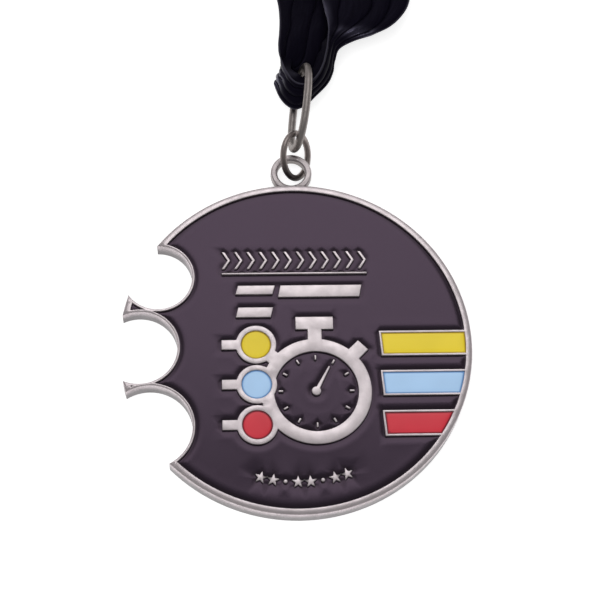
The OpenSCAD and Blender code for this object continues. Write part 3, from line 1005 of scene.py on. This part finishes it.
def stitch_tree():
    tree = bpy.data.node_groups.new("rows_of_stitches", "GeometryNodeTree")
    face = tree.interface
    for name, kind in (("Stitches", "Int"), ("Rows", "Int"), ("Row length", "Float"),
                       ("Row gap", "Float"), ("Stitch length", "Float"), ("Thread size", "Float"),
                       ("Place", "Vector"), ("Finish", "Material")):
        face.new_socket(name, in_out="INPUT", socket_type="NodeSocket" + kind)
    face.new_socket("Geometry", in_out="OUTPUT", socket_type="NodeSocketGeometry")
    given = add(tree, "NodeGroupInput")
    grid = add(tree, "GeometryNodeMeshGrid", {
        "Size X": given.outputs["Row length"], "Size Y": given.outputs["Row gap"],
        "Vertices X": given.outputs["Stitches"], "Vertices Y": given.outputs["Rows"]})
    bead = add(tree, "GeometryNodeMeshUVSphere", {"Segments": 10, "Rings": 6, "Radius": 0.5})
    size = add(tree, "ShaderNodeCombineXYZ", {
        0: given.outputs["Stitch length"], 1: given.outputs["Thread size"],
        2: given.outputs["Thread size"]})
    drawn = add(tree, "GeometryNodeTransform", {"Geometry": bead.outputs[0], "Scale": size.outputs[0]})
    rows = add(tree, "GeometryNodeInstanceOnPoints", {
        "Points": grid.outputs["Mesh"], "Instance": drawn.outputs[0]})
    put = add(tree, "GeometryNodeTransform", {
        "Geometry": rows.outputs[0], "Translation": given.outputs["Place"]})
    real = add(tree, "GeometryNodeRealizeInstances", {"Geometry": put.outputs[0]})
    smooth = add(tree, "GeometryNodeSetShadeSmooth", {"Geometry": real.outputs[0]})
    finish = add(tree, "GeometryNodeSetMaterial", {
        "Geometry": smooth.outputs[0], "Material": given.outputs["Finish"]})
    add(tree, "NodeGroupOutput", {"Geometry": finish.outputs[0]})
    return tree


seam_low, seam_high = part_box("ribbon_seam_stitches")
stitches = applied("seam_stitches", bpy.data.meshes.new("start"), stitch_tree(), {
    "Stitches": 14, "Rows": 2, "Row length": seam_high.x - seam_low.x - 1.1 * MM,
    "Row gap": seam_high.y - seam_low.y - 0.3 * MM, "Stitch length": 1.2 * MM,
    "Thread size": 0.3 * MM, "Finish": thread,
    "Place": ((seam_low.x + seam_high.x) / 2, (seam_low.y + seam_high.y) / 2,
              top_z * MM + cloth_thickness / 2)})
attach(stitches, "ribbon")
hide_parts("ribbon_seam_stitches")
print("stitches:", len(stitches.data.polygons), "faces")

# %% [markdown]
# ## The paper band
# A strip of plain paper keeps the stack together. It is bent round it and glued to itself, so one end
# lies over the other on top.

# %% Band
card, tree = new_material("uncoated_paper_band")
place = add(tree, "ShaderNodeTexCoord")
fibre = add(tree, "ShaderNodeTexNoise", {
    "Vector": place.outputs["Object"], "Scale": per_mm(0.5), "Detail": 5.0, "Roughness": 0.7})
fibre_colour = ramp(tree, fibre.outputs["Fac"], [(0.3, linear("#d9d5cc")), (0.7, linear("#ece9e2"))])
bump = add(tree, "ShaderNodeBump", {"Height": fibre.outputs["Fac"], "Distance": 0.03 * MM})
shader = add(tree, "ShaderNodeBsdfPrincipled", {
    "Base Color": fibre_colour.outputs["Color"], "Roughness": 0.85, "Normal": bump.outputs[0]})
add(tree, "ShaderNodeOutputMaterial", {"Surface": shader.outputs[0]})

paper_thickness = 0.3                       # mm
corner_radius = 1.0
flap = 9.0                                  # how far one end lies over the other


def band_outline():
    """The paper's line round the stack, from under the flap, round once, to the flap's end."""
    half_w = (band_high.x - band_low.x) / 2 - paper_thickness / 2
    half_h = (band_high.z - band_low.z) / 2 - paper_thickness / 2
    middle = Vector((stack_middle, 0, (band_low.z + band_high.z) / 2))
    points = [Vector((-flap / 2, 0, half_h))]
    for quarter in range(4):
        sx, sz = ((1, 1), (1, -1), (-1, -1), (-1, 1))[quarter]
        for step in range(7):
            angle = math.pi / 2 * (1 - quarter - step / 6)
            points.append(Vector((sx * (half_w - corner_radius) + corner_radius * math.cos(angle), 0,
                                  sz * (half_h - corner_radius) + corner_radius * math.sin(angle))))
    lift = paper_thickness * 1.05
    points += [Vector((-flap / 2 - 1.2, 0, half_h)), Vector((-flap / 2, 0, half_h + lift)),
               Vector((0, 0, half_h + lift)), Vector((flap / 2, 0, half_h + lift))]
    return [middle + p for p in points]


line = band_outline()
band_mesh = bpy.data.meshes.new("paper_band")
edges_y = (band_low.y, band_high.y)
band_mesh.from_pydata([(p.x * MM, y * MM, p.z * MM) for p in line for y in edges_y], [],
                      [(2 * i, 2 * i + 1, 2 * i + 3, 2 * i + 2) for i in range(len(line) - 1)])
band_mesh.materials.append(card)
band = bpy.data.objects.new("paper_band", band_mesh)
scene.collection.objects.link(band)
wall = band.modifiers.new("thickness", "SOLIDIFY")
wall.thickness = paper_thickness * MM
wall.offset = 0
wall.use_even_offset = True
plain(band)
band.data.shade_smooth()
band.data.set_sharp_from_angle(angle=math.radians(40))
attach(band, "ribbon")
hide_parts("storage_band")
print("band:", len(band.data.polygons), "faces")

# %% [markdown]
# ## Floor and light
# A plain white sheet lies under the medal. One broad soft panel stands where its reflection falls
# on the flat faces, and a second one only fills, so the enamel colours stay clean.

# %% Stage
floor_glow = 0.75                          # keeps the sheet white under the medal
sky = 0.26

bpy.ops.mesh.primitive_plane_add(size=4, location=(0, 0, -0.02 * MM))
floor = bpy.context.object
floor.name = "floor"
paper, tree = new_material("white_backdrop_paper")
shader = add(tree, "ShaderNodeBsdfPrincipled", {
    "Base Color": grey(0.6), "Roughness": 0.9, "Specular IOR Level": 0.1,
    "Emission Color": grey(1.0), "Emission Strength": floor_glow})
add(tree, "ShaderNodeOutputMaterial", {"Surface": shader.outputs[0]})
floor.data.materials.append(paper)


def panel(name, size, place, aim, radiance, in_reflections=True):
    """A square soft light whose brightness is given as radiance, so its size doesn't change it."""
    light = bpy.data.lights.new(name, "AREA")
    light.shape = "SQUARE"
    light.size = size
    light.energy = radiance * math.pi * size * size
    made = bpy.data.objects.new(name, light)
    made.location = place
    made.rotation_euler = (Vector(aim) - Vector(place)).to_track_quat("-Z", "Y").to_euler()
    made.visible_glossy = in_reflections
    scene.collection.objects.link(made)
    return made


panel("key_panel", 0.5, (0.03, 0.435, 0.61), (0.03, 0.015, -0.01), 1.44)
panel("fill_panel", 1.2, (-0.3, -0.3, 1.1), (0, 0, 0), 1.75, in_reflections=False)
world = bpy.data.worlds.new("studio")
world.use_nodes = True
world.node_tree.nodes["Background"].inputs["Color"].default_value = grey(1.0)
world.node_tree.nodes["Background"].inputs["Strength"].default_value = sky
scene.world = world
scene.view_settings.view_transform = "Standard"
